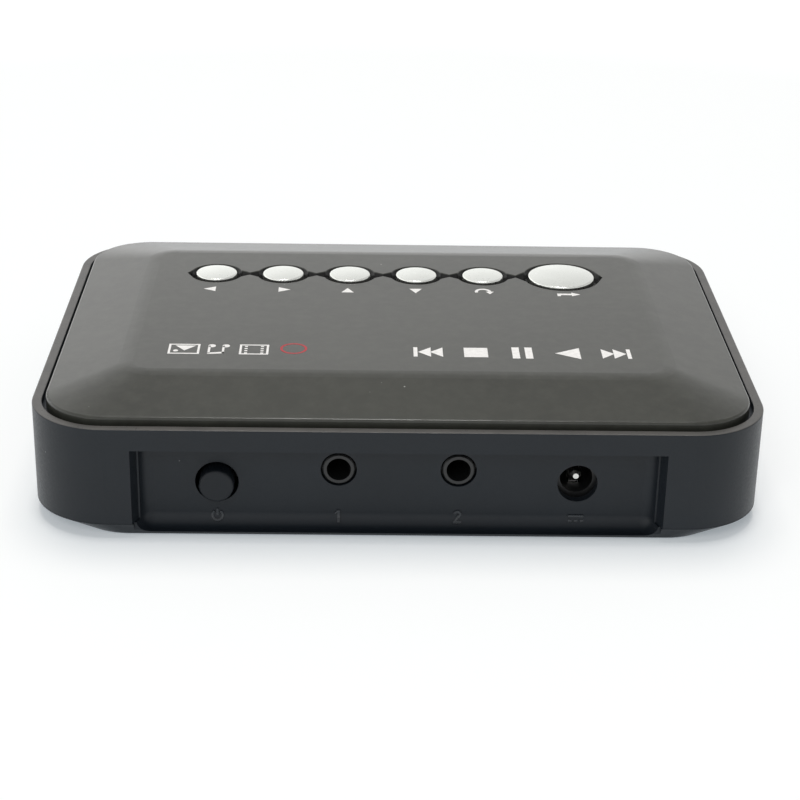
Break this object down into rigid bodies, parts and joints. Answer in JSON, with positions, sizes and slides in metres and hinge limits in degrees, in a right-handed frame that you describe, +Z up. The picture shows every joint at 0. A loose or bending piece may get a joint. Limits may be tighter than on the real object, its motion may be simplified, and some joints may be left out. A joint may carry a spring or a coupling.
{
  "type": "desktop media player",
  "caption": "Flat rounded desktop media player with a bevelled lid, a row of round silver keys and a recessed rear connector panel.",
  "frame": {"origin": "middle of the footprint, on the plane that the feet stand on", "axes": "+Z up; +Y towards the rear connector wall; +X to the right of a user who faces the front and looks along +Y"},
  "size_m": [0.11, 0.08, 0.022],
  "materials": {
    "housing_black": "fine spark texture, satin",
    "lid_black": "rubberised satin lacquer",
    "key_silver": "satin silver plating on moulded plastic",
    "plunger_black": "moulded",
    "power_key_black": "moulded, satin",
    "foot_rubber": "matt",
    "screw_steel": "black zinc plate",
    "board_laminate": "green solder mask on glass-fibre laminate",
    "moulded_black": "moulded",
    "stem_white": "moulded",
    "contact_brass": "plated",
    "spring_steel": "drawn wire",
    "sheet_steel": "nickel plated",
    "chip_epoxy": "moulded epoxy",
    "ferrite": "sintered",
    "sink_aluminium": "black anodised",
    "can_aluminium": "plain",
    "ceramic": "fired",
    "window_tint": "dark red tint",
    "lamp_lens": "diffused"
  },
  "bodies": {
    "case": {"audio_chip": "chip_epoxy", "av_jack": "moulded_black", "av_jack_contacts": "contact_brass", "board_screws": "screw_steel", "bottom_cover": "housing_black", "card_slot_base": "moulded_black", "card_slot_cover": "sheet_steel", "case_screws": "screw_steel", "chip_passives": "ceramic", "component_jack": "moulded_black", "component_jack_contacts": "contact_brass", "crystal": "sheet_steel", "dc_inlet": "moulded_black", "dc_inlet_leaf": "sheet_steel", "dc_inlet_pin": "sheet_steel", "electrolytic_capacitors": "can_aluminium", "flash_chip": "chip_epoxy", "frame_shell": "housing_black", "hdmi_shell": "sheet_steel", "hdmi_tongue": "moulded_black", "header_plug": "moulded_black", "header_socket": "moulded_black", "heat_sink": "sink_aluminium", "ir_receiver": "moulded_black", "ir_window": "window_tint", "key_board": "board_laminate", "key_board_screws": "screw_steel", "main_board": "board_laminate", "memory_chips": "chip_epoxy", "power_inductors": "ferrite", "power_regulators": "chip_epoxy", "power_switch_case": "moulded_black", "power_switch_spring": "spring_steel", "processor_chip": "chip_epoxy", "rubber_feet": "foot_rubber", "status_leds": "lamp_lens", "tact_switches": "moulded_black", "top_panel": "lid_black", "usb_shell": "sheet_steel", "usb_tongue": "moulded_black"},
    "key_enter": {"button_enter": "key_silver", "plunger_enter": "plunger_black"},
    "key_back": {"button_back": "key_silver", "plunger_back": "plunger_black"},
    "key_up": {"button_up": "key_silver", "plunger_up": "plunger_black"},
    "key_down": {"button_down": "key_silver", "plunger_down": "plunger_black"},
    "key_left": {"button_left": "key_silver", "plunger_left": "plunger_black"},
    "key_right": {"button_right": "key_silver", "plunger_right": "plunger_black"},
    "power_key": {"power_button": "power_key_black", "power_switch_stem": "stem_white"}
  },
  "joints": [
    {"name": "press_enter", "type": "slide", "parent": "case", "child": "key_enter", "axis": [0, 0, -1], "range_m": [0, 0.00025], "stiffness_N_per_m": 2000, "springref_m": -0.0002},
    {"name": "press_back", "type": "slide", "parent": "case", "child": "key_back", "axis": [0, 0, -1], "range_m": [0, 0.00025], "stiffness_N_per_m": 2000, "springref_m": -0.0002},
    {"name": "press_up", "type": "slide", "parent": "case", "child": "key_up", "axis": [0, 0, -1], "range_m": [0, 0.00025], "stiffness_N_per_m": 2000, "springref_m": -0.0002},
    {"name": "press_down", "type": "slide", "parent": "case", "child": "key_down", "axis": [0, 0, -1], "range_m": [0, 0.00025], "stiffness_N_per_m": 2000, "springref_m": -0.0002},
    {"name": "press_left", "type": "slide", "parent": "case", "child": "key_left", "axis": [0, 0, -1], "range_m": [0, 0.00025], "stiffness_N_per_m": 2000, "springref_m": -0.0002},
    {"name": "press_right", "type": "slide", "parent": "case", "child": "key_right", "axis": [0, 0, -1], "range_m": [0, 0.00025], "stiffness_N_per_m": 2000, "springref_m": -0.0002},
    {"name": "press_power", "type": "slide", "parent": "case", "child": "power_key", "axis": [0, -1, 0], "range_m": [0, 0.0016], "stiffness_N_per_m": 400, "springref_m": -0.0012, "deforming": ["power_switch_spring"]}
  ]
}
